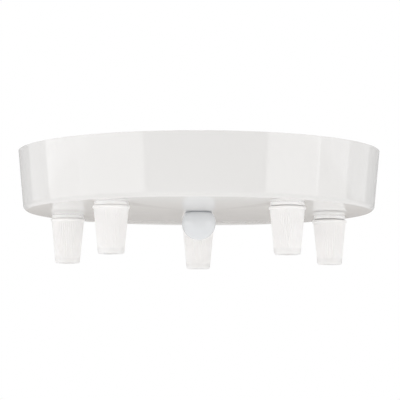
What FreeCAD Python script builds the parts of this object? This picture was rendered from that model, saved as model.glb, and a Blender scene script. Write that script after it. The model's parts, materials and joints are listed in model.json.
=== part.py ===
import FreeCAD, Part
import math
import os

import Sketcher

# A ceiling rose for five pendant lamps. A pressed steel canopy hangs on a ball nut, which runs on
# a rod from a strap at the ceiling. Five conical grips hold the lamps' cords.
# The origin is the middle of the ceiling plane, +Z is up, and the sizes are in millimetres.

SIZES = {
    # canopy
    "rim_diameter": 160.0,  # outside, at the ceiling
    "wall_taper": 2.5,  # on the radius, from the rim down to the bottom
    "canopy_depth": 26.4,  # ceiling to the bottom's outer face
    "sheet_thickness": 1.0,  # steel sheet
    "corner_radius": 2.2,  # outside, between wall and bottom
    "rod_hole_clearance": 0.6,  # on the diameter, rod in the canopy's middle hole
    # grips on the canopy
    "grip_count": 5,  # evenly spaced, the first one at the back
    "grip_wall_gap": 4.2,  # edge of a grip's washer to the start of the canopy's corner
    "grip_hole_clearance": 0.4,  # on the diameter, stem in its hole
    # grip stem
    "stem_diameter": 10.0,  # M10 x 1 thread through the canopy
    "stem_reach": 7.5,  # above the canopy's inner face
    "stem_bore": 6.8,  # way for the cord
    "stem_chamfer": 0.6,  # at both ends of the stem
    "collar_diameter": 14.2,  # collar under the canopy
    "collar_height": 1.6,  # collar under the canopy
    "cap_thread_diameter": 11.0,  # thread that carries the cap
    "cap_thread_length": 8.5,  # below the collar
    "socket_depth": 4.6,  # mouth of the stem, round the collet
    # grip cap
    "cap_length": 20.0,  # lip to small end
    "lip_diameter": 15.6,  # lip at the cap's mouth
    "lip_height": 1.1,  # lip at the cap's mouth
    "lip_round": 0.35,  # radius on the lip's two edges
    "shoulder_diameter": 14.6,  # cone just under the lip
    "cap_end_diameter": 11.0,  # cone at the small end
    "cap_end_round": 0.8,  # radius round the small end
    "band_height": 2.5,  # smooth band at the small end
    "neck_height": 0.5,  # smooth neck between the lip and the ribs
    "rib_gap_depth": 0.22,  # grooves between the ribs
    "rib_gap_width": 0.5,  # grooves between the ribs, at the surface
    "rib_count": 48,  # ribs round a cap
    "exit_wall": 2.4,  # thickness round the cord at the small end
    "cap_thread_runout": 0.5,  # cap's thread past the end of the stem
    "cap_gap_1": 0.20,  # cap 1 below its collar, as it was screwed up
    "cap_gap_2": 0.10,  # cap 2 below its collar
    "cap_gap_3": 0.10,  # cap 3 below its collar
    "cap_gap_4": 0.30,  # cap 4 below its collar
    "cap_gap_5": 0.45,  # cap 5 below its collar
    # grip collet
    "cord_bore": 6.6,  # cap and collet, round the cord
    "collet_diameter": 8.6,  # ring at the collet's top
    "collet_tip_diameter": 7.9,  # cone at the collet's lower end
    "collet_clearance": 0.1,  # between the collet and what it sits in
    "collet_ring": 3.4,  # height of the ring above the fingers
    "collet_slit": 0.9,  # slit between two fingers
    "collet_finger_count": 4,  # fingers of a collet
    # nuts and washers
    "thread_clearance": 0.05,  # on the radius, between two threads
    "nut_face_margin": 0.3,  # a nut's flats to its round end face
    "grip_nut_flats": 14.0,  # M10 nut, across its flats
    "grip_nut_height": 3.0,  # M10 nut
    "grip_washer_diameter": 15.4,  # toothed washer under the M10 nut
    "grip_washer_thickness": 0.8,  # toothed washer
    "grip_washer_teeth": 10,  # notches in its rim
    "grip_washer_notch": 1.6,  # width and depth of a notch
    "rod_nut_flats": 10.0,  # M6 nut, across its flats
    "rod_nut_height": 5.0,  # M6 nut
    "lock_washer_diameter": 10.6,  # split washer under the lower nut
    "lock_washer_thickness": 1.6,  # split washer
    "lock_washer_slit": 1.0,  # slit of the split washer
    "washer_clearance": 0.4,  # on the diameter, washer round its thread
    # ball nut and rod
    "ball_diameter": 15.0,  # ball nut
    "ball_height": 12.0,  # flat top to lowest point
    "ball_bore_depth": 10.0,  # threaded bore from the flat top
    "ball_washer_diameter": 11.8,  # dark washer on the ball
    "ball_washer_thickness": 0.35,  # dark washer on the ball
    "rod_diameter": 6.0,  # M6 rod
    "rod_top": 1.5,  # rod's top end below the ceiling
    "rod_engagement": 9.0,  # rod inside the ball nut
    "rod_chamfer": 0.6,  # both ends of the rod
    # strap
    "strap_length": 130.0,  # end to end
    "strap_width": 20.0,  # across
    "strap_thickness": 1.5,  # zinc-plated steel
    "strap_drop": 7.5,  # ceiling to the middle stretch's top face
    "strap_ramp": 7.5,  # length of each ramp, along the strap
    "saddle_length": 44.0,  # lowered middle stretch
    "bend_radius": 1.0,  # inside of each bend
    "strap_end_radius": 6.0,  # corners of the strap's ends and tab
    "slot_spacing": 90.0,  # middle to middle of the two ceiling slots
    "slot_length": 20.0,  # end to end
    "slot_width": 5.2,  # for the ceiling screws
    "tab_reach": 31.5,  # strap's middle line to the tab's far edge
    "tab_width": 20.0,  # tab that carries the terminal block
    # terminal block
    "block_offset": 22.0,  # strap's middle line to the block's middle
    "block_length": 17.0,  # along the wires
    "pole_spacing": 13.0,  # pole to pole
    "pole_width": 7.4,  # housing of one pole
    "pole_drop": 3.6,  # tab's underside to the pole's axis
    "well_drop": 11.0,  # tab's underside to the mouths of the screw wells
    "well_spacing": 8.4,  # screw to screw along one pole
    "well_clearance": 0.5,  # on the diameter, screw in its well
    "channel_drop": 6.4,  # tab's underside to the channel's outer floor
    "tower_length": 5.8,  # tower round a screw well, along the wires
    "web_width": 9.0,  # bridge between the poles
    "web_thickness": 2.6,  # bridge between the poles
    "insert_width": 4.4,  # square brass insert
    "insert_length": 15.0,  # square brass insert
    "insert_bore": 3.3,  # way for the wire
    "insert_clearance": 0.1,  # insert in its channel, both sides together
    "terminal_screw_diameter": 2.9,  # screw on the wire
    "terminal_screw_length": 6.0,  # screw on the wire
    # small screws
    "block_screw_diameter": 2.9,  # fixes the block to the tab
    "block_screw_head": 5.0,  # head diameter
    "block_screw_head_height": 1.8,  # head height
    "block_screw_reach": 2.0,  # past the tab's top face
    "earth_screw_offset": 14.0,  # from the rod, along the strap
    "earth_screw_diameter": 3.9,  # M4 screw
    "earth_screw_head": 7.6,  # head diameter
    "earth_screw_head_height": 2.6,  # head height
    "earth_screw_reach": 3.0,  # past the strap's top face
    "earth_washer_diameter": 8.6,  # under the earth screw's head
    "earth_washer_thickness": 0.9,  # under the earth screw's head
    "screw_slot_width": 0.8,  # driver slot in each screw
    "screw_slot_depth": 0.9,  # driver slot in each screw
    "screw_hole_clearance": 0.1,  # on the diameter, screw in its hole
}

doc = FreeCAD.newDocument("ceiling_rose")
sheet = doc.addObject("Spreadsheet::Sheet", "Sizes")


def fill_sheet():
    for row, (alias, value) in enumerate(SIZES.items(), start=1):
        sheet.set(f"A{row}", alias)
        sheet.set(f"B{row}", str(value))
        sheet.setAlias(f"B{row}", alias)
    doc.recompute()


def size(alias):
    """A size as a number, read back from the sheet."""
    return float(sheet.get(alias))


def radius(alias):
    """The expression for half of a diameter in the sheet."""
    return f"Sizes.{alias} / 2"


def new_body(label):
    body = doc.addObject("PartDesign::Body", label)
    body.Label = label
    return body


def place(thing, across="0", along="0", up="0"):
    """Binds where a piece stands to expressions."""
    for axis, expression in zip("xyz", (across, along, up)):
        thing.setExpression(f"Placement.Base.{axis}", expression)


def new_sketch(body, name, role, height=None):
    """A sketch on one of its body's origin planes, or at a height over it."""
    sketch = body.newObject("Sketcher::SketchObject", name)
    plane = next(f for f in body.Origin.OriginFeatures if f.Role == role)
    sketch.AttachmentSupport = [(plane, "")]
    sketch.MapMode = "FlatFace"
    if height:
        sketch.setExpression("AttachmentOffset.Base.z", height)
    return sketch


def measure(sketch, kind, *places, name, expression):
    """One named dimension of a sketch, bound to an expression."""
    number = sketch.addConstraint(Sketcher.Constraint(kind, *places, 1.0))
    sketch.renameConstraint(number, name)
    sketch.setExpression(f"Constraints.{name}", expression)


def outline(sketch, corners):
    """Straight edges through corners, each given as two expressions: across and up."""
    count = len(corners)
    turn = 2 * math.pi / count
    start = [FreeCAD.Vector(math.cos(turn * i), math.sin(turn * i)) for i in range(count)]
    for i in range(count):
        sketch.addGeometry(Part.LineSegment(start[i], start[(i + 1) % count]), False)
    for i in range(count):
        sketch.addConstraint(Sketcher.Constraint("Coincident", i, 2, (i + 1) % count, 1))
    ways = (("DistanceX", "Vertical", -2, "across"), ("DistanceY", "Horizontal", -1, "up"))
    for i, corner in enumerate(corners):
        for value, before, (kind, level, axis, word) in zip(corner, corners[i - 1], ways):
            if i and value == before:
                sketch.addConstraint(Sketcher.Constraint(level, i - 1))
            elif value == "0":
                sketch.addConstraint(Sketcher.Constraint("PointOnObject", i, 1, axis))
            else:
                measure(sketch, kind, -1, 1, i, 1, name=f"{word}_{i}", expression=value)


def circle(sketch, diameter, across="0", up="0"):
    """One circle, with its diameter and centre as expressions."""
    start = Part.Circle(FreeCAD.Vector(1, 1, 0), FreeCAD.Vector(0, 0, 1), 1)
    number = sketch.addGeometry(start, False)
    measure(sketch, "Diameter", number, name=f"diameter_{number}", expression=diameter)
    ways = ((across, "DistanceX", -2, "across"), (up, "DistanceY", -1, "up"))
    for value, kind, axis, word in ways:
        if value == "0":
            sketch.addConstraint(Sketcher.Constraint("PointOnObject", number, 3, axis))
        else:
            name = f"{word}_{number}"
            measure(sketch, kind, -1, 1, number, 3, name=name, expression=value)


def rectangle(sketch, left, right, low, high):
    outline(sketch, [(left, low), (right, low), (right, high), (left, high)])


def finish(body, feature):
    """Makes a feature the body's tip, and checks that it changed the solid."""
    before = 0 if body.Shape.isNull() else body.Shape.Volume
    body.Tip = feature
    doc.recompute()
    if abs(body.Shape.Volume - before) < 1e-6:
        raise RuntimeError(f"{feature.Label} of {body.Label} changes nothing")
    return feature


def turn_section(body, name, corners, kind="PartDesign::Revolution"):
    """Turns a section of (radius, height) corners round the body's Z axis."""
    sketch = new_sketch(body, name + "Section", "XZ_Plane")
    outline(sketch, corners)
    feature = body.newObject(kind, name)
    feature.Profile = sketch
    feature.ReferenceAxis = (sketch, ["V_Axis"])
    feature.Angle = 360
    return finish(body, feature)


def pad(body, name, sketch, length, both_ways=False):
    feature = body.newObject("PartDesign::Pad", name)
    feature.Profile = sketch
    feature.SideType = "Symmetric" if both_ways else "One side"
    feature.setExpression("Length", length)
    return finish(body, feature)


def cut_through(body, name, sketch):
    """Cuts a sketch right through the body, both ways."""
    feature = body.newObject("PartDesign::Pocket", name)
    feature.Profile = sketch
    feature.SideType = "Symmetric"
    feature.Type = "ThroughAll"
    return finish(body, feature)


def cut_to_depth(body, name, sketch, depth, upward=False):
    feature = body.newObject("PartDesign::Pocket", name)
    feature.Profile = sketch
    feature.Reversed = upward
    feature.setExpression("Length", depth)
    return finish(body, feature)


def repeat_round(body, name, feature, count):
    """Repeats a feature evenly round the body's Z axis."""
    pattern = body.newObject("PartDesign::PolarPattern", name)
    pattern.Originals = [feature]
    z_axis = next(f for f in body.Origin.OriginFeatures if f.Role == "Z_Axis")
    pattern.Axis = (z_axis, [""])
    pattern.Angle = 360
    pattern.setExpression("Occurrences", count)
    return finish(body, pattern)


def mirror(body, name, feature, role):
    copy = body.newObject("PartDesign::Mirrored", name)
    copy.Originals = [feature]
    plane = next(f for f in body.Origin.OriginFeatures if f.Role == role)
    copy.MirrorPlane = (plane, [""])
    return finish(body, copy)


def round_edges(body, name, chosen, expression):
    """Fillets the edges of the body's tip whose middle point passes a test."""
    base = body.Tip
    edges = []
    for number, edge in enumerate(base.Shape.Edges, 1):
        low, high = edge.ParameterRange
        if chosen(edge, edge.valueAt((low + high) / 2)):
            edges.append(f"Edge{number}")
    if not edges:
        raise RuntimeError(f"{name} of {body.Label} finds no edge")
    feature = body.newObject("PartDesign::Fillet", name)
    feature.Base = (base, edges)
    feature.setExpression("Radius", expression)
    return finish(body, feature)


def near(a, b):
    return abs(a - b) < 1e-4


def is_circle_at(edge, height, diameter):
    """Is an edge a circle of this diameter at this height?"""
    curve = edge.Curve
    if not isinstance(curve, Part.Circle):
        return False
    return near(curve.Center.z, height) and near(2 * curve.Radius, diameter)


def turned(label, corners):
    body = new_body(label)
    turn_section(body, "Turned", corners)
    return body


def hex_nut(label, flats, height, bore):
    """A nut that stands on its own origin, with its upper corners chamfered."""
    body = new_body(label)
    sketch = new_sketch(body, "Hexagon", "XY_Plane")
    start = [FreeCAD.Vector(math.cos(i * math.pi / 3), math.sin(i * math.pi / 3)) for i in range(6)]
    for i in range(6):
        sketch.addGeometry(Part.LineSegment(start[i], start[(i + 1) % 6]), False)
    ring = sketch.addGeometry(Part.Circle(FreeCAD.Vector(), FreeCAD.Vector(0, 0, 1), 1), True)
    sketch.addConstraint(Sketcher.Constraint("Coincident", ring, 3, -1, 1))
    for i in range(6):
        sketch.addConstraint(Sketcher.Constraint("Coincident", i, 2, (i + 1) % 6, 1))
        sketch.addConstraint(Sketcher.Constraint("PointOnObject", i, 1, ring))
    for i in range(5):
        sketch.addConstraint(Sketcher.Constraint("Equal", i, i + 1))
    sketch.addConstraint(Sketcher.Constraint("PointOnObject", 0, 1, -1))
    corner = f"({flats}) / 2 / cos(30)"
    measure(sketch, "Radius", ring, name="corner_radius", expression=corner)
    pad(body, "Hexagonal", sketch, height)
    hole = new_sketch(body, "BoreCircle", "XY_Plane")
    circle(hole, bore)
    cut_through(body, "Bore", hole)
    # a cone of 30 degrees takes the corners off at the exposed end
    face = f"(({flats}) / 2 - Sizes.nut_face_margin)"
    beyond = f"({flats})"
    fall = f"({beyond} - {face}) * tan(30)"
    cone = [(face, height), (beyond, height), (beyond, f"({height}) - {fall}")]
    turn_section(body, "Chamfer", cone, "PartDesign::Groove")
    return body


def ring(label, diameter, bore, thickness):
    """A flat ring that stands on its own origin."""
    inside, outside = f"({bore}) / 2", f"({diameter}) / 2"
    corners = [(inside, "0"), (outside, "0"), (outside, thickness), (inside, thickness)]
    return turned(label, corners)


def slotted_screw(label, corners, head, head_height):
    """A screw that points up from its own origin, its head below, with a slot in the head."""
    body = turned(label, corners)
    slot = new_sketch(body, "Slot", "XY_Plane", f"-Sizes.{head_height}")
    deep = radius("screw_slot_width")
    rectangle(slot, f"-Sizes.{head}", f"Sizes.{head}", f"-{deep}", deep)
    cut_to_depth(body, "DriverSlot", slot, "Sizes.screw_slot_depth", upward=True)
    return body


INNER_FACE = "(Sizes.canopy_depth - Sizes.sheet_thickness)"
WALL_LEAN = "(Sizes.wall_taper / Sizes.canopy_depth)"
# outside, where the wall and the bottom would meet
BASE_RADIUS = "(Sizes.rim_diameter / 2 - Sizes.wall_taper)"
FLAT_RADIUS = f"({BASE_RADIUS} - Sizes.corner_radius - Sizes.sheet_thickness)"
GRIP_CIRCLE_RADIUS = f"({FLAT_RADIUS} - Sizes.grip_washer_diameter / 2 - Sizes.grip_wall_gap)"
# the sheet's thickness as a level cut through the leaning wall meets it
WALL_ACROSS = f"(Sizes.sheet_thickness * sqrt(1 + {WALL_LEAN} ^ 2))"
STEM_HOLE = "(Sizes.stem_diameter + Sizes.grip_hole_clearance)"


def make_canopy():
    body = new_body("canopy")
    rim = radius("rim_diameter")
    inner_base = f"{BASE_RADIUS} + Sizes.sheet_thickness * {WALL_LEAN} - {WALL_ACROSS}"
    corners = [
        ("0", "-Sizes.canopy_depth"),
        (BASE_RADIUS, "-Sizes.canopy_depth"),
        (rim, "0"),
        (f"{rim} - {WALL_ACROSS}", "0"),
        (inner_base, f"-{INNER_FACE}"),
        ("0", f"-{INNER_FACE}"),
    ]
    turn_section(body, "Pressing", corners)
    depth, thickness = size("canopy_depth"), size("sheet_thickness")
    outer = size("rim_diameter") - 2 * size("wall_taper")

    def is_outer(edge, middle):
        return is_circle_at(edge, -depth, outer)

    def is_inner(edge, middle):
        return near(middle.z, thickness - depth)

    round_edges(body, "OuterCorner", is_outer, "Sizes.corner_radius")
    round_edges(body, "InnerCorner", is_inner, "Sizes.corner_radius - Sizes.sheet_thickness")
    holes = new_sketch(body, "RodHoleCircle", "XY_Plane")
    circle(holes, "Sizes.rod_diameter + Sizes.rod_hole_clearance")
    cut_through(body, "RodHole", holes)
    grip = new_sketch(body, "GripHoleCircle", "XY_Plane")
    circle(grip, STEM_HOLE, up=GRIP_CIRCLE_RADIUS)
    hole = cut_through(body, "GripHole", grip)
    repeat_round(body, "GripHoles", hole, "Sizes.grip_count")
    return body


def make_grip_stem(label):
    """Its own origin is on the canopy's outer face."""
    bore, thread, collar = radius("stem_bore"), radius("stem_diameter"), radius("collar_diameter")
    lower = radius("cap_thread_diameter")
    socket = "Sizes.collet_diameter / 2 + Sizes.collet_clearance"
    chamfer = "Sizes.stem_chamfer"
    top = "Sizes.sheet_thickness + Sizes.stem_reach"
    neck = "-Sizes.collar_height"
    end = "-(Sizes.collar_height + Sizes.cap_thread_length)"
    socket_top = f"{end} + Sizes.socket_depth"
    corners = [
        (bore, top),
        (f"{thread} - {chamfer}", top),
        (thread, f"{top} - {chamfer}"),
        (thread, "0"),
        (collar, "0"),
        (collar, neck),
        (lower, neck),
        (lower, f"{end} + {chamfer}"),
        (f"{lower} - {chamfer}", end),
        (socket, end),
        (socket, socket_top),
        (bore, socket_top),
    ]
    return turned(label, corners)


COLLET_BOTTOM = "-(Sizes.cap_length - Sizes.exit_wall - Sizes.collet_clearance)"
CAP_SHOULDER = "-(Sizes.cap_thread_length + Sizes.cap_thread_runout)"


def make_grip_cap(label):
    """Its own origin is in its mouth, level with the lip."""
    lip, shoulder, tip = radius("lip_diameter"), radius("shoulder_diameter"), radius("cap_end_diameter")
    thread = f"{radius('cap_thread_diameter')} + Sizes.thread_clearance"
    hollow_top = "Sizes.collet_diameter / 2 + Sizes.collet_clearance"
    hollow_tip = "Sizes.collet_tip_diameter / 2 + Sizes.collet_clearance"
    exit_top = "-(Sizes.cap_length - Sizes.exit_wall)"
    lean = f"(({shoulder} - {tip}) / (Sizes.cap_length - Sizes.lip_height))"
    corners = [
        (thread, "0"),
        (lip, "0"),
        (lip, "-Sizes.lip_height"),
        (shoulder, "-Sizes.lip_height"),
        (tip, "-Sizes.cap_length"),
        (radius("cord_bore"), "-Sizes.cap_length"),
        (radius("cord_bore"), exit_top),
        (hollow_tip, exit_top),
        (hollow_top, CAP_SHOULDER),
        (thread, CAP_SHOULDER),
    ]
    body = turned(label, corners)
    length, lip_low = size("cap_length"), size("lip_height")
    lip_across, end_across = size("lip_diameter"), size("cap_end_diameter")

    def is_lip(edge, middle):
        return any(is_circle_at(edge, height, lip_across) for height in (0, -lip_low))

    def is_end(edge, middle):
        return is_circle_at(edge, -length, end_across)

    round_edges(body, "LipEdges", is_lip, "Sizes.lip_round")
    round_edges(body, "EndEdge", is_end, "Sizes.cap_end_round")
    # one groove between two ribs, cut along the cone from the neck to the smooth band
    start = "(Sizes.lip_height + Sizes.neck_height)"
    surface = f"({shoulder} - Sizes.neck_height * {lean})"
    sketch = new_sketch(body, "GrooveSection", "XY_Plane", f"-{start}")
    # twice as far out as the groove is deep, so that the cut passes the surface
    section = [
        (f"{surface} - Sizes.rib_gap_depth", "0"),
        (f"{surface} + Sizes.rib_gap_depth", "Sizes.rib_gap_width"),
        (f"{surface} + Sizes.rib_gap_depth", "-Sizes.rib_gap_width"),
    ]
    outline(sketch, section)
    groove = body.newObject("PartDesign::Pocket", "RibGroove")
    groove.Profile = sketch
    groove.UseCustomVector = True
    groove.AlongSketchNormal = True
    groove.setExpression("Direction.x", f"-{lean}")
    groove.setExpression("Direction.z", "-1")
    groove.setExpression("Length", f"Sizes.cap_length - Sizes.band_height - {start}")
    finish(body, groove)
    repeat_round(body, "RibGrooves", groove, "Sizes.rib_count")
    return body


def make_grip_collet(label):
    """Shares its cap's origin. Its fingers hang from a ring at the top."""
    bore, outside, tip = radius("cord_bore"), radius("collet_diameter"), radius("collet_tip_diameter")
    top = "-(Sizes.cap_thread_length - Sizes.socket_depth + Sizes.collet_clearance)"
    corners = [
        (bore, top),
        (outside, top),
        (outside, CAP_SHOULDER),
        (tip, COLLET_BOTTOM),
        (bore, COLLET_BOTTOM),
    ]
    body = turned(label, corners)
    slit = new_sketch(body, "Slit", "YZ_Plane")
    half = radius("collet_slit")
    rectangle(slit, f"-{half}", half, f"{COLLET_BOTTOM} - 1", f"{top} - Sizes.collet_ring")
    cut = body.newObject("PartDesign::Pocket", "FingerSlit")
    cut.Profile = slit
    cut.Type = "Length"
    cut.Reversed = True
    cut.setExpression("Length", "Sizes.collet_diameter")
    finish(body, cut)
    repeat_round(body, "FingerSlits", cut, "Sizes.collet_finger_count")
    return body


def make_grip_washer(label):
    bore = "Sizes.stem_diameter + Sizes.washer_clearance"
    body = ring(label, "Sizes.grip_washer_diameter", bore, "Sizes.grip_washer_thickness")
    notch = new_sketch(body, "Notch", "XY_Plane")
    half = radius("grip_washer_notch")
    edge = radius("grip_washer_diameter")
    rectangle(notch, f"{edge} - Sizes.grip_washer_notch", f"{edge} + 1", f"-{half}", half)
    first = cut_through(body, "ToothGap", notch)
    repeat_round(body, "ToothGaps", first, "Sizes.grip_washer_teeth")
    return body


def cap_gap(number):
    """A cap's own gap, or the first cap's where the sheet has none for it."""
    alias = f"cap_gap_{number}"
    return f"Sizes.{alias}" if sheet.getCellFromAlias(alias) else "Sizes.cap_gap_1"


def make_grips():
    """The grips, each a stem, cap, collet, washer and nut on one axis."""
    for number in range(1, int(size("grip_count")) + 1):
        turn = f"90 + {number - 1} * 360 / Sizes.grip_count"
        across = f"{GRIP_CIRCLE_RADIUS} * cos({turn})"
        along = f"{GRIP_CIRCLE_RADIUS} * sin({turn})"
        cap_mouth = f"-(Sizes.canopy_depth + Sizes.collar_height + {cap_gap(number)})"
        nut_bore = "Sizes.stem_diameter + 2 * Sizes.thread_clearance"
        nut_seat = f"-{INNER_FACE} + Sizes.grip_washer_thickness"
        place(make_grip_stem(f"grip_stem_{number}"), across, along, "-Sizes.canopy_depth")
        place(make_grip_cap(f"grip_cap_{number}"), across, along, cap_mouth)
        place(make_grip_collet(f"grip_collet_{number}"), across, along, cap_mouth)
        place(make_grip_washer(f"grip_washer_{number}"), across, along, f"-{INNER_FACE}")
        flats, height = "Sizes.grip_nut_flats", "Sizes.grip_nut_height"
        nut = hex_nut(f"grip_nut_{number}", flats, height, nut_bore)
        place(nut, across, along, nut_seat)


def make_ball_nut():
    """Its own origin is in the middle of its flat top."""
    body = new_body("ball_nut")
    sketch = new_sketch(body, "BallSection", "XZ_Plane")
    ball, high = size("ball_diameter") / 2, size("ball_height")
    middle = ball - high
    flat = math.sqrt(ball**2 - middle**2)
    bore, deep = size("rod_diameter") / 2, size("ball_bore_depth")
    pole = FreeCAD.Vector(0, -high)
    brim = FreeCAD.Vector(flat, 0)
    points = [
        FreeCAD.Vector(0, -deep),
        FreeCAD.Vector(bore, -deep),
        FreeCAD.Vector(bore, 0),
        brim,
    ]
    sketch.addGeometry(Part.LineSegment(pole, points[0]), False)
    for one, other in zip(points, points[1:]):
        sketch.addGeometry(Part.LineSegment(one, other), False)
    centre = FreeCAD.Vector(0, middle)
    round_part = Part.Circle(centre, FreeCAD.Vector(0, 0, 1), ball)
    first = math.atan2(pole.y - middle, pole.x)
    last = math.atan2(brim.y - middle, brim.x)
    arc = sketch.addGeometry(Part.ArcOfCircle(round_part, first, last), False)
    for line in range(arc - 1):
        sketch.addConstraint(Sketcher.Constraint("Coincident", line, 2, line + 1, 1))
    sketch.addConstraint(Sketcher.Constraint("Coincident", arc - 1, 2, arc, 2))
    sketch.addConstraint(Sketcher.Constraint("Coincident", arc, 1, 0, 1))
    for place_on, axis in (((0, 1), -2), ((0, 2), -2), ((2, 2), -1), ((3, 2), -1), ((arc, 3), -2)):
        sketch.addConstraint(Sketcher.Constraint("PointOnObject", *place_on, axis))
    sketch.addConstraint(Sketcher.Constraint("Horizontal", 1))
    sketch.addConstraint(Sketcher.Constraint("Vertical", 2))
    bore_radius = f"{radius('rod_diameter')} + Sizes.thread_clearance"
    measure(sketch, "Radius", arc, name="ball_radius", expression=radius("ball_diameter"))
    measure(sketch, "DistanceY", 0, 1, -1, 1, name="ball_height", expression="Sizes.ball_height")
    measure(sketch, "DistanceY", 0, 2, -1, 1, name="bore_depth", expression="Sizes.ball_bore_depth")
    measure(sketch, "DistanceX", -1, 1, 1, 2, name="bore_radius", expression=bore_radius)
    feature = body.newObject("PartDesign::Revolution", "Ball")
    feature.Profile = sketch
    feature.ReferenceAxis = (sketch, ["V_Axis"])
    feature.Angle = 360
    finish(body, feature)
    place(body, up="-(Sizes.canopy_depth + Sizes.ball_washer_thickness)")
    return body


def make_rod():
    """Its own origin is at its top end."""
    rod, chamfer = radius("rod_diameter"), "Sizes.rod_chamfer"
    length = "(Sizes.canopy_depth + Sizes.ball_washer_thickness + Sizes.rod_engagement - Sizes.rod_top)"
    corners = [
        ("0", "0"),
        (f"{rod} - {chamfer}", "0"),
        (rod, f"-{chamfer}"),
        (rod, f"-{length} + {chamfer}"),
        (f"{rod} - {chamfer}", f"-{length}"),
        ("0", f"-{length}"),
    ]
    place(turned("fixing_rod", corners), up="-Sizes.rod_top")


def make_rod_fasteners():
    bore = "Sizes.rod_diameter + 2 * Sizes.thread_clearance"
    flats, height = "Sizes.rod_nut_flats", "Sizes.rod_nut_height"
    upper = hex_nut("rod_nut_upper", flats, height, bore)
    place(upper, up="-Sizes.strap_drop")
    washer = ring(
        "rod_lock_washer",
        "Sizes.lock_washer_diameter",
        "Sizes.rod_diameter + Sizes.washer_clearance",
        "Sizes.lock_washer_thickness",
    )
    slit = new_sketch(washer, "Slit", "XY_Plane")
    half = radius("lock_washer_slit")
    rectangle(slit, "0", "Sizes.lock_washer_diameter", f"-{half}", half)
    cut_through(washer, "Split", slit)
    below = "Sizes.strap_drop + Sizes.strap_thickness + Sizes.lock_washer_thickness"
    place(washer, up=f"-({below})")
    place(hex_nut("rod_nut_lower", flats, height, bore), up=f"-({below} + Sizes.rod_nut_height)")
    ball_washer = ring(
        "ball_washer",
        "Sizes.ball_washer_diameter",
        "Sizes.rod_diameter + Sizes.rod_hole_clearance",
        "Sizes.ball_washer_thickness",
    )
    place(ball_washer, up="-(Sizes.canopy_depth + Sizes.ball_washer_thickness)")


def draw_slot(sketch, middle, length, width):
    """A slot along the sketch's first axis, with round ends."""
    straight = f"({length} - {width})"
    up = FreeCAD.Vector(0, 0, 1)
    quarter = math.pi / 2
    left = FreeCAD.Vector(1, 0)
    right = left + left
    sketch.addGeometry(Part.ArcOfCircle(Part.Circle(left, up, 1), quarter, 3 * quarter), False)
    sketch.addGeometry(Part.ArcOfCircle(Part.Circle(right, up, 1), -quarter, quarter), False)
    for side in (FreeCAD.Vector(0, -1), FreeCAD.Vector(0, 1)):
        sketch.addGeometry(Part.LineSegment(left + side, right + side), False)
    for arc, arc_end, line, line_end in ((0, 2, 2, 1), (1, 1, 2, 2), (0, 1, 3, 1), (1, 2, 3, 2)):
        sketch.addConstraint(Sketcher.Constraint("Tangent", arc, arc_end, line, line_end))
    for arc in (0, 1):
        sketch.addConstraint(Sketcher.Constraint("PointOnObject", arc, 3, -1))
    sketch.addConstraint(Sketcher.Constraint("Equal", 0, 1))
    start = f"{middle} - {straight} / 2"
    measure(sketch, "DistanceX", -1, 1, 0, 3, name="start", expression=start)
    measure(sketch, "DistanceX", 0, 3, 1, 3, name="straight", expression=straight)
    measure(sketch, "Radius", 0, name="end_radius", expression=f"{width} / 2")


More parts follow.
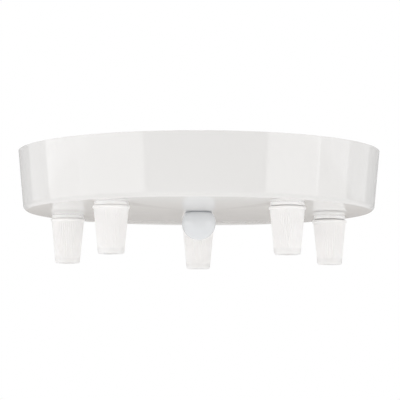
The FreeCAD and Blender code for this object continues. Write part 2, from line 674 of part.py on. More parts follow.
def make_strap():
    body = new_body("mounting_strap")
    end = radius("strap_length")
    saddle = radius("saddle_length")
    ramp_top = f"{saddle} + Sizes.strap_ramp"
    drop, thick = "Sizes.strap_drop", "Sizes.strap_thickness"
    # the underside's corners lie further out than the top's, as a folded strip's do
    shift = f"{thick} * tan(atan({drop} / Sizes.strap_ramp) / 2)"
    right = [
        (saddle, f"-{drop}"),
        (ramp_top, "0"),
        (end, "0"),
        (end, f"-{thick}"),
        (f"{ramp_top} + {shift}", f"-{thick}"),
        (f"{saddle} + {shift}", f"-({drop} + {thick})"),
    ]
    left = [(f"-({across})", up) for across, up in reversed(right)]
    side = new_sketch(body, "SideView", "XZ_Plane")
    outline(side, right + left)
    pad(body, "Strip", side, "Sizes.strap_width", both_ways=True)
    tab = new_sketch(body, "TabOutline", "XY_Plane", f"-({drop} + {thick})")
    half_tab = radius("tab_width")
    rectangle(tab, f"-{half_tab}", half_tab, "0", "Sizes.tab_reach")
    pad(body, "Tab", tab, thick)
    half_length, half_width = size("strap_length") / 2, size("strap_width") / 2
    reach = size("tab_reach")

    def is_corner(edge, middle):
        if not isinstance(edge.Curve, Part.Line) or abs(edge.tangentAt(edge.FirstParameter).z) < 0.99:
            return False
        at_end = near(abs(middle.x), half_length) and near(abs(middle.y), half_width)
        return at_end or near(middle.y, reach)

    round_edges(body, "Corners", is_corner, "Sizes.strap_end_radius")
    top_bend = size("saddle_length") / 2 + size("strap_ramp")
    levels = {
        (size("saddle_length") / 2, -size("strap_drop")),
        (top_bend, 0.0),
    }
    lean = math.atan(size("strap_drop") / size("strap_ramp")) / 2
    outward = size("strap_thickness") * math.tan(lean)
    under = {(across + outward, up - size("strap_thickness")) for across, up in levels}

    def bend_at(places):
        def is_bend(edge, middle):
            return any(near(abs(middle.x), x) and near(middle.z, z) for x, z in places)

        return is_bend

    saddle_top, ramp_top_place = sorted(levels)
    saddle_under, ramp_under = sorted(under)
    inside, outside = "Sizes.bend_radius", "Sizes.bend_radius + Sizes.strap_thickness"
    round_edges(body, "InnerBends", bend_at([saddle_top, ramp_under]), inside)
    round_edges(body, "OuterBends", bend_at([saddle_under, ramp_top_place]), outside)
    slot = new_sketch(body, "SlotOutline", "XY_Plane")
    draw_slot(slot, radius("slot_spacing"), "Sizes.slot_length", "Sizes.slot_width")
    mirror(body, "Slots", cut_through(body, "Slot", slot), "YZ_Plane")
    gap = "Sizes.screw_hole_clearance"
    holes = new_sketch(body, "Holes", "XY_Plane")
    circle(holes, "Sizes.rod_diameter + Sizes.washer_clearance")
    circle(holes, f"Sizes.earth_screw_diameter + {gap}", across="Sizes.earth_screw_offset")
    circle(holes, f"Sizes.block_screw_diameter + {gap}", up="Sizes.block_offset")
    cut_through(body, "RoundHoles", holes)
    return body


def box(label, width, length, height, across, along, low):
    """A box centred on across and along, whose underside is at low."""
    thing = doc.addObject("Part::Box", label)
    for name, expression in (("Length", width), ("Width", length), ("Height", height)):
        thing.setExpression(name, expression)
    place(thing, f"{across} - ({width}) / 2", f"{along} - ({length}) / 2", low)
    return thing


def cylinder(label, diameter, length, across, along, low, lying=False):
    """A cylinder that stands on low, or lies along Y with its axis at low and its middle at along."""
    thing = doc.addObject("Part::Cylinder", label)
    thing.setExpression("Radius", f"({diameter}) / 2")
    thing.setExpression("Height", length)
    if lying:
        thing.Placement.Rotation = FreeCAD.Rotation(FreeCAD.Vector(1, 0, 0), 90)
        along = f"{along} + ({length}) / 2"
    place(thing, across, along, low)
    return thing


def joined(label, things):
    fuse = doc.addObject("Part::MultiFuse", label)
    fuse.Label = label
    fuse.Shapes = things
    fuse.Refine = True
    return fuse


def cut_from(label, base, tool):
    cut = doc.addObject("Part::Cut", label)
    cut.Label = label
    cut.Base = base
    cut.Tool = tool
    return cut


def grouped(label, things):
    """Several like pieces kept as one group of separate solids."""
    group = doc.addObject("Part::Compound", label)
    group.Label = label
    group.Links = things


SIDES = {"Left": -1, "Right": 1}
ENDS = {"Front": -1, "Back": 1}
TAB_UNDERSIDE = "(Sizes.strap_drop + Sizes.strap_thickness)"
POLE_AXIS = f"-({TAB_UNDERSIDE} + Sizes.pole_drop)"
WEB_UNDERSIDE = f"-({TAB_UNDERSIDE} + Sizes.web_thickness)"


def pole_across(side):
    return f"{SIDES[side]} * Sizes.pole_spacing / 2"


def well_along(end):
    return f"(Sizes.block_offset + {ENDS[end]} * Sizes.well_spacing / 2)"


def make_terminal_block():
    """Two poles side by side under the tab, on a web that the fixing screw passes."""
    solids, hollows = [], []
    along = "Sizes.block_offset"
    well_mouth = f"-({TAB_UNDERSIDE} + Sizes.well_drop)"
    for side in SIDES:
        across = pole_across(side)
        wide, length = "Sizes.pole_width", "Sizes.block_length"
        floor = f"-({TAB_UNDERSIDE} + Sizes.channel_drop)"
        solids.append(box(f"{side}Channel", wide, length, "Sizes.channel_drop", across, along, floor))
        square = "Sizes.insert_width + Sizes.insert_clearance"
        low = f"{POLE_AXIS} - ({square}) / 2"
        # the cut runs past both ends of the housing
        hollows.append(box(f"{side}WireWay", square, f"{length} * 2", square, across, along, low))
        for end in ENDS:
            name, beside = side + end, well_along(end)
            tall, tower = "Sizes.well_drop", "Sizes.tower_length"
            solids.append(box(f"{name}Tower", wide, tower, tall, across, beside, well_mouth))
            well = "Sizes.terminal_screw_diameter + Sizes.well_clearance"
            deep = "Sizes.well_drop - Sizes.pole_drop"
            hollows.append(cylinder(f"{name}Well", well, deep, across, beside, well_mouth))
    reach = ("Sizes.pole_spacing", "Sizes.web_width", "Sizes.web_thickness")
    solids.append(box("Web", *reach, "0", along, WEB_UNDERSIDE))
    screw_hole = "Sizes.block_screw_diameter + Sizes.screw_hole_clearance"
    hollows.append(cylinder("FixingHole", screw_hole, "Sizes.web_thickness", "0", along, WEB_UNDERSIDE))
    cut_from("terminal_block", joined("BlockSolid", solids), joined("BlockHollows", hollows))


def make_terminal_metal():
    """The square brass inserts and the screws in them."""
    bars, ways, screws = [], [], []
    wide, length, along = "Sizes.insert_width", "Sizes.insert_length", "Sizes.block_offset"
    for side in SIDES:
        across = pole_across(side)
        bars.append(box(f"{side}Bar", wide, length, wide, across, along, f"{POLE_AXIS} - {wide} / 2"))
        ways.append(
            cylinder(f"{side}Bore", "Sizes.insert_bore", length, across, along, POLE_AXIS, lying=True)
        )
        for end in ENDS:
            name, beside = side + end, well_along(end)
            thread = "Sizes.terminal_screw_diameter"
            hole = f"{thread} + 2 * Sizes.thread_clearance"
            ways.append(cylinder(f"{name}Tapping", hole, wide, across, beside, f"{POLE_AXIS} - {wide}"))
            # a screw reaches the middle of the wire's way
            low = f"{POLE_AXIS} - Sizes.terminal_screw_length"
            shank = cylinder(f"{name}Shank", thread, "Sizes.terminal_screw_length", across, beside, low)
            slot = driver_slot(f"{name}Slot", thread, across, beside, low)
            screws.append(cut_from(f"{name}Screw", shank, slot))
    cut_from("terminal_inserts", joined("Bars", bars), joined("BarHollows", ways))
    grouped("terminal_screws", screws)


def driver_slot(label, head, across, along, low):
    """The cut for a driver across a head, from its underside up."""
    wide, deep = "Sizes.screw_slot_width", "Sizes.screw_slot_depth"
    return box(label, f"2 * {head}", wide, deep, across, along, low)


def screw_section(diameter, head, head_height, reach):
    """The section of a screw that points up from the underside of its head."""
    shank, rim = radius(diameter), radius(head)
    low = f"-Sizes.{head_height}"
    return [("0", low), (rim, low), (rim, "0"), (shank, "0"), (shank, reach), ("0", reach)]


def make_small_screws():
    """The earth screw with its washer, and the screw that holds the terminal block."""
    bore = "Sizes.earth_screw_diameter + Sizes.washer_clearance"
    thick = "Sizes.earth_washer_thickness"
    under_washer = f"-({TAB_UNDERSIDE} + {thick})"
    washer = ring("earth_washer", "Sizes.earth_washer_diameter", bore, thick)
    place(washer, across="Sizes.earth_screw_offset", up=under_washer)
    reach = f"{thick} + Sizes.strap_thickness + Sizes.earth_screw_reach"
    section = screw_section("earth_screw_diameter", "earth_screw_head", "earth_screw_head_height", reach)
    screw = slotted_screw("earth_screw", section, "earth_screw_head", "earth_screw_head_height")
    place(screw, across="Sizes.earth_screw_offset", up=under_washer)
    reach = "Sizes.web_thickness + Sizes.strap_thickness + Sizes.block_screw_reach"
    section = screw_section("block_screw_diameter", "block_screw_head", "block_screw_head_height", reach)
    label = "terminal_block_screw"
    screw = slotted_screw(label, section, "block_screw_head", "block_screw_head_height")
    place(screw, along="Sizes.block_offset", up=WEB_UNDERSIDE)


def node_labels():
    """Every piece, with the number of solids that it has."""
    single = [
        "canopy",
        "ball_nut",
        "ball_washer",
        "fixing_rod",
        "rod_nut_upper",
        "rod_nut_lower",
        "rod_lock_washer",
        "mounting_strap",
        "terminal_block",
        "terminal_block_screw",
        "earth_screw",
        "earth_washer",
    ]
    grips = int(size("grip_count"))
    for kind in ("stem", "cap", "collet", "washer", "nut"):
        single += [f"grip_{kind}_{number}" for number in range(1, grips + 1)]
    labels = dict.fromkeys(single, 1)
    labels["terminal_inserts"] = len(SIDES)
    labels["terminal_screws"] = len(SIDES) * len(ENDS)
    return labels


def export_pieces():
    for thing in doc.Objects:
        if "Invalid" in thing.State or "Error" in thing.State:
            raise RuntimeError(f"{thing.Label} failed: {thing.State}")
    os.makedirs("parts", exist_ok=True)
    labels = node_labels()
    for label, solids in labels.items():
        shape = doc.getObjectsByLabel(label)[0].Shape
        if shape.isNull() or not shape.isValid():
            raise RuntimeError(f"{label} has no valid shape")
        if len(shape.Solids) != solids:
            raise RuntimeError(f"{label} has {len(shape.Solids)} solids, not {solids}")
    for label in labels:
        doc.getObjectsByLabel(label)[0].Shape.exportStep(f"parts/{label}.step")
    print(f"{len(labels)} pieces written")


fill_sheet()
make_canopy()
make_grips()
make_ball_nut()
make_rod()
make_rod_fasteners()
make_strap()
make_terminal_block()
make_terminal_metal()
make_small_screws()
doc.recompute()
export_pieces()
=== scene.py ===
import json
import math

import bmesh
import bpy
import numpy as np
from mathutils import Matrix, Vector


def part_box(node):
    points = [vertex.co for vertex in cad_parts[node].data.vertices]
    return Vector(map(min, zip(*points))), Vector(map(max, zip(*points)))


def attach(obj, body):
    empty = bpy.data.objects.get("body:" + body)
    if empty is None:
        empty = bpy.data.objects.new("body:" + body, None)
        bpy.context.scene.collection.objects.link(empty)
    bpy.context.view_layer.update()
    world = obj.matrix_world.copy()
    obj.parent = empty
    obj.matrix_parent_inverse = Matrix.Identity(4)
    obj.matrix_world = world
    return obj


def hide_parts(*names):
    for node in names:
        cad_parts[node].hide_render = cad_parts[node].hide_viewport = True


MM = 0.001
GRIPS = range(1, 6)

# canopy, in mm
WALL_TAPER = 2.5
SHEET = 1.0
CORNER = 2.2
RIM_TRIM = 0.15
ROD_HOLE_R = 3.3
STEM_HOLE_R = 5.2

# grip stem, in mm
STEM_TOP = 8.5
STEM_R = 5.0
STEM_BORE_R = 3.4
COLLAR_R = 7.1
COLLAR_EDGE = 0.12
CAP_THREAD_R = 5.5
CAP_THREAD_LONG = 8.5
SOCKET_R = 4.4
SOCKET_DEEP = 4.6

# grip cap, in mm, with the seat that its collet is pressed into
LIP_R = 7.8
LIP_HIGH = 1.1
LIP_ROUND = 0.35
LIP_FOOT = 0.15
SHOULDER_R = 7.3
NECK_HIGH = 0.5
BAND_HIGH = 2.5
TIP_R = 5.5
TIP_ROUND = 0.8
EXIT_R = 3.3
EXIT_WALL = 2.4
EXIT_EDGE = 0.12
CAP_BORE_R = 5.55
CAP_BORE_DEEP = 9.0
CAP_BORE_EDGE = 0.15
SEAT_END_R = 4.05
SEAT_TOP_R = 4.4

# ribs round a cap. A groove's half width is a share of the way from rib to rib
RIBS = 48
RIB_DEEP = 0.22
RIB_FADE = 0.35
GROOVE_HALF = 0.27

# ball nut and rod, in mm
BALL_R = 7.5
BALL_BORE_R = 3.05
BALL_BORE_DEEP = 10.0
BALL_BORE_EDGE = 0.3
BALL_BRIM = 0.12
ROD_R = 3.0
CHAMFER = 0.6

# threads, in mm: from groove to groove, and the groove's depth. Each fades in over a share of a turn
STEM_PITCH = 1.0
STEM_GROOVE = 0.45
CAP_PITCH = 1.5
CAP_GROOVE = 0.6
ROD_PITCH = 1.0
ROD_GROOVE = 0.5
LEAD_IN_TURN = 0.6

# how finely round pieces are drawn: sides round the axis, and rings along a thread
CANOPY_SIDES = 288
STEM_SIDES = 72
RIB_SIDES = 6
BALL_SIDES = 128
ROD_SIDES = 48
FLOOR_SIDES = 96
STEM_RINGS = 62
CAP_THREAD_RINGS = 42
ROD_RINGS = 268
# with this many sides no corner of a hole falls on an edge of the canopy
HOLE_SIDES = 90

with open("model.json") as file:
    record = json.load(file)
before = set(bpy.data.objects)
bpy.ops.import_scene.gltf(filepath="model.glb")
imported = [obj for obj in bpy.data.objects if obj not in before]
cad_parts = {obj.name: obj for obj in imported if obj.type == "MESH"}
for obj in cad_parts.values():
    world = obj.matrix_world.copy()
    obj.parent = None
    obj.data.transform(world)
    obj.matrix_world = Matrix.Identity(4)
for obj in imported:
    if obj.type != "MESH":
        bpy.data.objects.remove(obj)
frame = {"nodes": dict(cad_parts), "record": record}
NODES = frame["nodes"]
BODY_OF = {}
for body, group in frame["record"]["behaviour"]["bodies"].items():
    for node in group:
        BODY_OF[node] = body
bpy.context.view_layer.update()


def box_mm(node):
    """The lowest and highest corners of a CAD node, in mm."""
    low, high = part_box(node)
    return low / MM, high / MM


# heights and places read from the frame, in mm
canopy_low, canopy_high = box_mm("canopy")
ball_low, ball_high = box_mm("ball_nut")
rod_low, rod_high = box_mm("fixing_rod")
stem_low = box_mm("grip_stem_1")[0]
cap_low = box_mm("grip_cap_1")[0]
RIM_R = canopy_high.x
BASE_R = RIM_R - WALL_TAPER
DEPTH = -canopy_low.z
COLLAR_HIGH = -stem_low.z - DEPTH - CAP_THREAD_LONG


# Meshes


def arc(centre_r, centre_z, radius, start, end, steps):
    """Points of (radius, height) on an arc, in degrees."""
    points = []
    for i in range(steps + 1):
        a = math.radians(start + (end - start) * i / steps)
        points.append((centre_r + radius * math.cos(a), centre_z + radius * math.sin(a)))
    return points


def run(start, end, steps):
    """Points on a straight run, without its last point."""
    points = []
    for i in range(steps):
        share = i / steps
        points.append((start[0] + (end[0] - start[0]) * share, start[1] + (end[1] - start[1]) * share))
    return points


def merge_close_points(mesh, closest=0.000001):
    """Merges the points of a mesh that lie closer than this, in metres, such as those on an axis."""
    work = bmesh.new()
    work.from_mesh(mesh)
    bmesh.ops.remove_doubles(work, verts=work.verts, dist=closest)
    bmesh.ops.dissolve_degenerate(work, edges=work.edges, dist=closest)
    work.to_mesh(mesh)
    work.free()


def add_object(name, data):
    """Makes an object of a mesh, a light or a camera, and links it to the scene."""
    made = bpy.data.objects.new(name, data)
    bpy.context.scene.collection.objects.link(made)
    return made


def lathe(name, profile, sides, at=(0, 0), up=0.0, shape=None, closed=True):
    """Turns a profile in mm round the axis at a place in mm. shape moves the radii of the grid."""
    r = np.array([p[0] for p in profile], float)
    z = np.array([p[1] for p in profile], float)
    # a closed profile runs up its outer side, so that the faces look outwards
    if closed and np.sum(r * np.roll(z, -1) - np.roll(r, -1) * z) < 0:
        r = r[::-1]
        z = z[::-1]
    angle = np.arange(sides) * 2 * math.pi / sides
    grid_r = np.repeat(r[:, None], sides, axis=1)
    grid_z = np.repeat(z[:, None], sides, axis=1)
    grid_a = np.repeat(angle[None, :], len(r), axis=0)
    if shape:
        grid_r = shape(grid_r, grid_z, grid_a)
    x = at[0] + grid_r * np.cos(grid_a)
    y = at[1] + grid_r * np.sin(grid_a)
    points = np.stack([x, y, grid_z + up], axis=-1).reshape(-1, 3) * MM
    faces = []
    rows = len(r) if closed else len(r) - 1
    for i in range(rows):
        j = (i + 1) % len(r)
        for k in range(sides):
            n = (k + 1) % sides
            faces.append((i * sides + k, i * sides + n, j * sides + n, j * sides + k))
    mesh = bpy.data.meshes.new(name)
    mesh.from_pydata(points.tolist(), [], faces)
    merge_close_points(mesh)
    return add_object(name, mesh)


def smooth(piece, crease):
    """Shades a piece smooth, with sharp edges where it turns by more than the crease, in degrees."""
    piece.data.shade_smooth()
    piece.data.set_sharp_from_angle(angle=math.radians(crease))


def stands_for(piece, node, finish):
    """Puts a piece in the place of a CAD node, on the node's body."""
    piece.data.materials.clear()
    piece.data.materials.append(finish)
    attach(piece, BODY_OF[node])
    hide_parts(node)


def close_ends(piece, sides):
    """Closes both ends of an open tube."""
    points = [tuple(v.co) for v in piece.data.vertices]
    faces = [tuple(p.vertices) for p in piece.data.polygons]
    last = len(points) - sides
    faces.append(tuple(range(sides))[::-1])
    faces.append(tuple(range(last, last + sides)))
    closed = bpy.data.meshes.new(piece.name)
    closed.from_pydata(points, [], faces)
    closed.update()
    piece.data = closed


def cut_holes(piece, places, radius, low, high):
    """Cuts upright round holes, all at one radius, through a piece."""
    for i, place in enumerate(places):
        ends = [(radius, low), (radius, high)]
        tool = lathe(f"{piece.name}_tool_{i}", ends, HOLE_SIDES, place, closed=False)
        close_ends(tool, HOLE_SIDES)
        cut = piece.modifiers.new("hole", "BOOLEAN")
        cut.operation = "DIFFERENCE"
        cut.solver = "EXACT"
        cut.object = tool
        bpy.context.view_layer.update()
        shown = piece.evaluated_get(bpy.context.evaluated_depsgraph_get())
        shaped = bpy.data.meshes.new_from_object(shown)
        piece.modifiers.clear()
        piece.data = shaped
        bpy.data.objects.remove(tool)
    merge_close_points(piece.data)


def thread(radius, low, high, pitch, depth):
    """A shape for lathe: a screw thread cut into the stretch between two heights."""
    lead_in = pitch * LEAD_IN_TURN
    near = 0.02

    def shape(r, z, a):
        turn = (z / pitch - a / (2 * math.pi)) % 1.0
        groove = np.abs(turn * 2 - 1)
        fade = np.clip(np.minimum(z - low, high - z) / lead_in, 0, 1)
        on_thread = (np.abs(r - radius) < near) & (z >= low) & (z <= high)
        return r - np.where(on_thread, groove * fade * depth, 0)

    return shape


def ribs(surface, start, end):
    """A shape for lathe: fine ribs on a surface, which fade out at both heights."""
    near = 0.1

    def shape(r, z, a):
        turn = (a / (2 * math.pi) * RIBS) % 1.0
        groove = np.clip(1 - np.abs(turn - 0.5) / GROOVE_HALF, 0, 1)
        along = np.clip(np.minimum(start - z, z - end) / RIB_FADE, 0, 1)
        outside = r > surface(z) - near
        return r - np.where(outside, groove * along * RIB_DEEP, 0)

    return shape


# Materials

# sockets of a node that mixes two colours
MIX_FIRST = 6
MIX_SECOND = 7
MIX_RESULT = 2

# nearly all of a noise lies between these values
NOISE_LOW = 0.3
NOISE_HIGH = 0.7


def math_node(tree, operation, first, second):
    """Works out one value from two others."""
    made = tree.nodes.new("ShaderNodeMath")
    made.operation = operation
    tree.links.new(first, made.inputs[0])
    tree.links.new(second, made.inputs[1])
    return made.outputs[0]


def mix_shaders(tree, factor, first, second):
    """Shows the first shader where the factor is 0 and the second where it is 1."""
    made = tree.nodes.new("ShaderNodeMixShader")
    for place, socket in enumerate((factor, first, second)):
        tree.links.new(socket, made.inputs[place])
    return made.outputs[0]


class Finish:
    """A material with its nodes, and short ways to add more of them."""

    def __init__(self, name):
        self.material = bpy.data.materials.new(name)
        self.material.use_nodes = True
        self.tree = self.material.node_tree
        self.shader = self.tree.nodes["Principled BSDF"]
        self.place = self.tree.nodes.new("ShaderNodeTexCoord").outputs["Object"]

    def set(self, **values):
        """Sets inputs of the shader by name."""
        for name, value in values.items():
            self.shader.inputs[name.replace("_", " ")].default_value = value

    def fill(self, socket, value):
        """Links a socket to another one, or sets its value."""
        if isinstance(value, bpy.types.NodeSocket):
            self.tree.links.new(value, socket)
        else:
            socket.default_value = value

    def node(self, kind, **inputs):
        """Adds a node with its inputs linked or set."""
        made = self.tree.nodes.new(kind)
        for name, value in inputs.items():
            self.fill(made.inputs[name.replace("_", " ")], value)
        return made

    def stretched(self, x, y, z):
        """The place, scaled by a factor along each axis."""
        return self.node("ShaderNodeMapping", Vector=self.place, Scale=(x, y, z)).outputs["Vector"]

    def noise(self, scale, detail=3.0, roughness=0.5, place=None):
        """A noise of about this many waves to the metre."""
        at = place or self.place
        made = self.node("ShaderNodeTexNoise", Vector=at, Scale=scale, Detail=detail, Roughness=roughness)
        return made.outputs["Fac"]

    def ranged(self, value, start, end, low=0.0, high=1.0):
        """Maps a value from start to end onto a value from low to high."""
        made = self.node("ShaderNodeMapRange", Value=value, From_Min=start, From_Max=end)
        self.fill(made.inputs["To Min"], low)
        self.fill(made.inputs["To Max"], high)
        return made.outputs["Result"]

    def between(self, noise, low, high):
        """Maps a noise onto a value from low to high."""
        return self.ranged(noise, NOISE_LOW, NOISE_HIGH, low, high)

    def mixed(self, factor, first, second):
        """Mixes two colours, each a value or a socket, by a factor from 0 to 1."""
        made = self.tree.nodes.new("ShaderNodeMix")
        made.data_type = "RGBA"
        self.fill(made.inputs["Factor"], factor)
        self.fill(made.inputs[MIX_FIRST], first)
        self.fill(made.inputs[MIX_SECOND], second)
        return made.outputs[MIX_RESULT]

    def mottled(self, noise, first, second):
        """Mixes two colours by a noise."""
        return self.mixed(self.between(noise, 0, 1), (*first, 1), (*second, 1))

    def link(self, value, name):
        """Links a value to an input of the shader."""
        self.tree.links.new(value, self.shader.inputs[name])

    def bump(self, *layers):
        """Adds bump layers, each a height, a strength and a depth in metres."""
        normal = None
        for height, strength, depth in layers:
            made = self.node("ShaderNodeBump", Height=height, Strength=strength, Distance=depth)
            if normal:
                self.tree.links.new(normal, made.inputs["Normal"])
            normal = made.outputs["Normal"]
        self.link(normal, "Normal")


def gloss_paint(name, light, dark):
    """Sprayed and baked paint: a clear gloss with a faint orange peel."""
    paint = Finish(name)
    paint.set(IOR=1.5)
    broad = paint.noise(scale=22.0, detail=2.0)
    haze = paint.noise(scale=160.0, detail=4.0)
    peel = paint.noise(scale=420.0, detail=2.0)
    paint.link(paint.mottled(broad, light, dark), "Base Color")
    paint.link(paint.between(haze, low=0.05, high=0.08), "Roughness")
    paint.bump((peel, 0.08, 0.00002))
    return paint.material


def grip_plastic(name, light, dark, clear, reach):
    """Natural white nylon, finely frosted, with a band of painted shade at the caps' ends. It lets some
    light in, as far as its reach in metres.
    """
    plastic = Finish(name)
    plastic.set(IOR=1.5)
    plastic.set(Subsurface_Weight=clear, Subsurface_Scale=reach, Subsurface_Radius=(1.0, 0.95, 0.9))
    flow = plastic.noise(scale=90.0, detail=4.0, place=plastic.stretched(1.0, 1.0, 0.35))
    haze = plastic.noise(scale=700.0, detail=3.0)
    frost = plastic.noise(scale=5200.0, detail=2.0)
    # painted shade: the thin end band round the cord exit is painted a little greyer, where it looks darker
    # because it lets more light through
    painted_shade_colour = (0.78, 0.775, 0.765, 1)
    painted_shade_share = 0.5
    # the first cap's band of painted shade serves for all, since the caps stand within 0.4 mm of each other
    band_top = cap_low.z + BAND_HIGH
    blend_up = 0.2
    blend_down = 0.5
    height = plastic.node("ShaderNodeSeparateXYZ", Vector=plastic.place).outputs["Z"]
    blend_start = (band_top + blend_up) * MM
    blend_end = (band_top - blend_down) * MM
    painted_shade_mask = plastic.ranged(height, blend_start, blend_end, high=painted_shade_share)
    body_colour = plastic.mottled(flow, light, dark)
    plastic.link(plastic.mixed(painted_shade_mask, body_colour, painted_shade_colour), "Base Color")
    plastic.link(plastic.between(haze, low=0.3, high=0.42), "Roughness")
    plastic.bump((frost, 0.15, 0.00002), (flow, 0.1, 0.0001))
    return plastic.material


def moulded_plastic(name, light, dark, rough):
    """Opaque moulded plastic with a fine grain."""
    plastic = Finish(name)
    plastic.set(IOR=1.48, Subsurface_Weight=0.15, Subsurface_Scale=0.002)
    spread = 0.06
    haze = plastic.noise(scale=600.0)
    plastic.link(plastic.mottled(plastic.noise(scale=130.0), light, dark), "Base Color")
    plastic.link(plastic.between(haze, rough - spread, rough + spread), "Roughness")
    plastic.bump((plastic.noise(scale=3000.0, detail=2.0), 0.2, 0.00002))
    return plastic.material


def zinc_plate():
    """Zinc-plated steel with the fine lines of the rolled strip and a faint blue and yellow cast."""
    metal = Finish("zinc_plate")
    metal.set(Metallic=1.0)
    bluish = (0.66, 0.67, 0.7)
    yellowish = (0.72, 0.715, 0.68)
    lines = metal.noise(scale=1500.0, detail=2.0, place=metal.stretched(0.04, 1.0, 1.0))
    grain = metal.noise(scale=900.0)
    metal.link(metal.mottled(metal.noise(scale=75.0), bluish, yellowish), "Base Color")
    metal.link(metal.between(lines, low=0.24, high=0.4), "Roughness")
    metal.bump((lines, 0.1, 0.00001), (grain, 0.1, 0.00002))
    return metal.material


def turned_brass():
    """Brass with the fine lines of turning and a little tarnish."""
    metal = Finish("turned_brass")
    metal.set(Metallic=1.0)
    clean = (0.78, 0.6, 0.3)
    tarnished = (0.62, 0.45, 0.2)
    lines = metal.noise(scale=1800.0, detail=2.0, place=metal.stretched(0.05, 1.0, 1.0))
    metal.link(metal.mottled(metal.noise(scale=260.0, detail=4.0), clean, tarnished), "Base Color")
    metal.link(metal.between(lines, low=0.22, high=0.42), "Roughness")
    metal.bump((lines, 0.15, 0.00001))
    return metal.material


def dark_rubber():
    """Grey rubber with dust on it."""
    rubber = Finish("dark_rubber")
    rubber.set(IOR=1.5)
    bare = (0.36, 0.38, 0.41)
    dusty = (0.42, 0.44, 0.47)
    dust = rubber.noise(scale=500.0, detail=5.0, roughness=0.6)
    rubber.link(rubber.mottled(dust, bare, dusty), "Base Color")
    rubber.link(rubber.between(rubber.noise(scale=900.0), low=0.55, high=0.75), "Roughness")
    rubber.bump((rubber.noise(scale=2400.0), 0.4, 0.00005))
    return rubber.material


# each finish by its slot, with a lighter and a darker shade where it is mottled
FINISHES = {
    "canopy_paint": gloss_paint("canopy_paint", (0.785, 0.777, 0.765), (0.77, 0.762, 0.75)),
    "ball_paint": gloss_paint("ball_paint", (0.75, 0.764, 0.78), (0.735, 0.75, 0.768)),
    "grip_plastic": grip_plastic(
        "grip_plastic", (0.925, 0.91, 0.9), (0.905, 0.892, 0.88), clear=0.15, reach=0.002
    ),
    "nut_plastic": moulded_plastic("nut_plastic", (0.82, 0.81, 0.79), (0.77, 0.76, 0.735), rough=0.38),
    "block_plastic": moulded_plastic("block_plastic", (0.8, 0.785, 0.74), (0.75, 0.735, 0.69), rough=0.5),
    "zinc": zinc_plate(),
    "brass": turned_brass(),
    "rubber": dark_rubber(),
}
# painted light: the stems are painted whiter than the caps, to lighten the canopy's shade on them and the
# dark crevice between collar and cap
STEM_PLASTIC_PAINTED_LIGHT = grip_plastic(
    "stem_plastic_painted_light", (0.98, 0.97, 0.96), (0.965, 0.955, 0.945), clear=0.25, reach=0.0015
)


# Pieces


def grip_place(number):
    """Where a grip stands, from the middle of its cap's box."""
    low, high = box_mm(f"grip_cap_{number}")
    return (low.x + high.x) / 2, (low.y + high.y) / 2


def canopy():
    """The pressing, with its leaning wall, rounded corner and trimmed rim."""
    lean = math.atan(WALL_TAPER / DEPTH)
    across = SHEET / math.cos(lean)
    trim_in = RIM_TRIM * math.tan(lean)
    corner_end = -math.degrees(lean)
    # the corner's centre lies a radius in from the bottom and from the leaning wall
    centre_r = BASE_R + CORNER * math.tan(lean) - CORNER / math.cos(lean)
    centre_z = -DEPTH + CORNER
    profile = [(ROD_HOLE_R, -DEPTH)]
    profile += arc(centre_r, centre_z, CORNER, start=-90, end=corner_end, steps=14)
    profile += [(RIM_R - trim_in, -RIM_TRIM), (RIM_R - RIM_TRIM, 0.0)]
    profile += [(RIM_R - across + RIM_TRIM, 0.0), (RIM_R - across - trim_in, -RIM_TRIM)]
    profile += arc(centre_r, centre_z, CORNER - SHEET, start=corner_end, end=-90, steps=8)
    profile += [(ROD_HOLE_R, -DEPTH + SHEET)]
    piece = lathe("canopy_shell", profile, CANOPY_SIDES)
    margin = 3.0
    cut_holes(piece, [grip_place(n) for n in GRIPS], STEM_HOLE_R, -DEPTH - margin, -DEPTH + margin)
    smooth(piece, crease=30)
    stands_for(piece, "canopy", FINISHES["canopy_paint"])


def cap(number):
    """A ribbed cone with a lip at its mouth, a smooth end band and a seat for the collet."""
    low, high = box_mm(f"grip_cap_{number}")
    length = high.z - low.z
    slope = (SHOULDER_R - TIP_R) / (length - LIP_HIGH)
    neck_end = -(LIP_HIGH + NECK_HIGH)
    band_start = -(length - BAND_HIGH)

    def surface(z):
        """The cone's radius at a height below the mouth."""
        return SHOULDER_R - (-LIP_HIGH - z) * slope

    def on_cone(*heights):
        return [(surface(z), z) for z in heights]

    top_rib, last_rib = on_cone(neck_end - RIB_FADE, band_start + RIB_FADE)
    tip_centre = -length + TIP_ROUND
    flare = 0.05
    profile = [(CAP_BORE_R + CAP_BORE_EDGE, 0.0)]
    profile += arc(LIP_R - LIP_ROUND, -LIP_ROUND, LIP_ROUND, start=90, end=0, steps=5)
    profile += arc(LIP_R - LIP_ROUND, -LIP_HIGH + LIP_ROUND, LIP_ROUND, start=0, end=-90, steps=5)
    profile += [(SHOULDER_R + flare, -LIP_HIGH)]
    profile += on_cone(-LIP_HIGH - LIP_FOOT, neck_end)
    profile += run(top_rib, last_rib, steps=10)
    profile += [last_rib]
    profile += on_cone(band_start, band_start - TIP_ROUND)
    profile += arc(surface(tip_centre) - TIP_ROUND, tip_centre, TIP_ROUND, start=0, end=-90, steps=8)
    profile += [(EXIT_R + EXIT_EDGE, -length), (EXIT_R, -length + EXIT_EDGE)]
    profile += [(EXIT_R, -length + EXIT_WALL), (SEAT_END_R, -length + EXIT_WALL)]
    profile += [(SEAT_TOP_R, -CAP_BORE_DEEP), (CAP_BORE_R, -CAP_BORE_DEEP)]
    profile += [(CAP_BORE_R, -CAP_BORE_EDGE)]
    shape = ribs(surface, neck_end, band_start)
    piece = lathe(f"cap_{number}", profile, RIBS * RIB_SIDES, grip_place(number), high.z, shape)
    smooth(piece, crease=32)
    stands_for(piece, f"grip_cap_{number}", FINISHES["grip_plastic"])


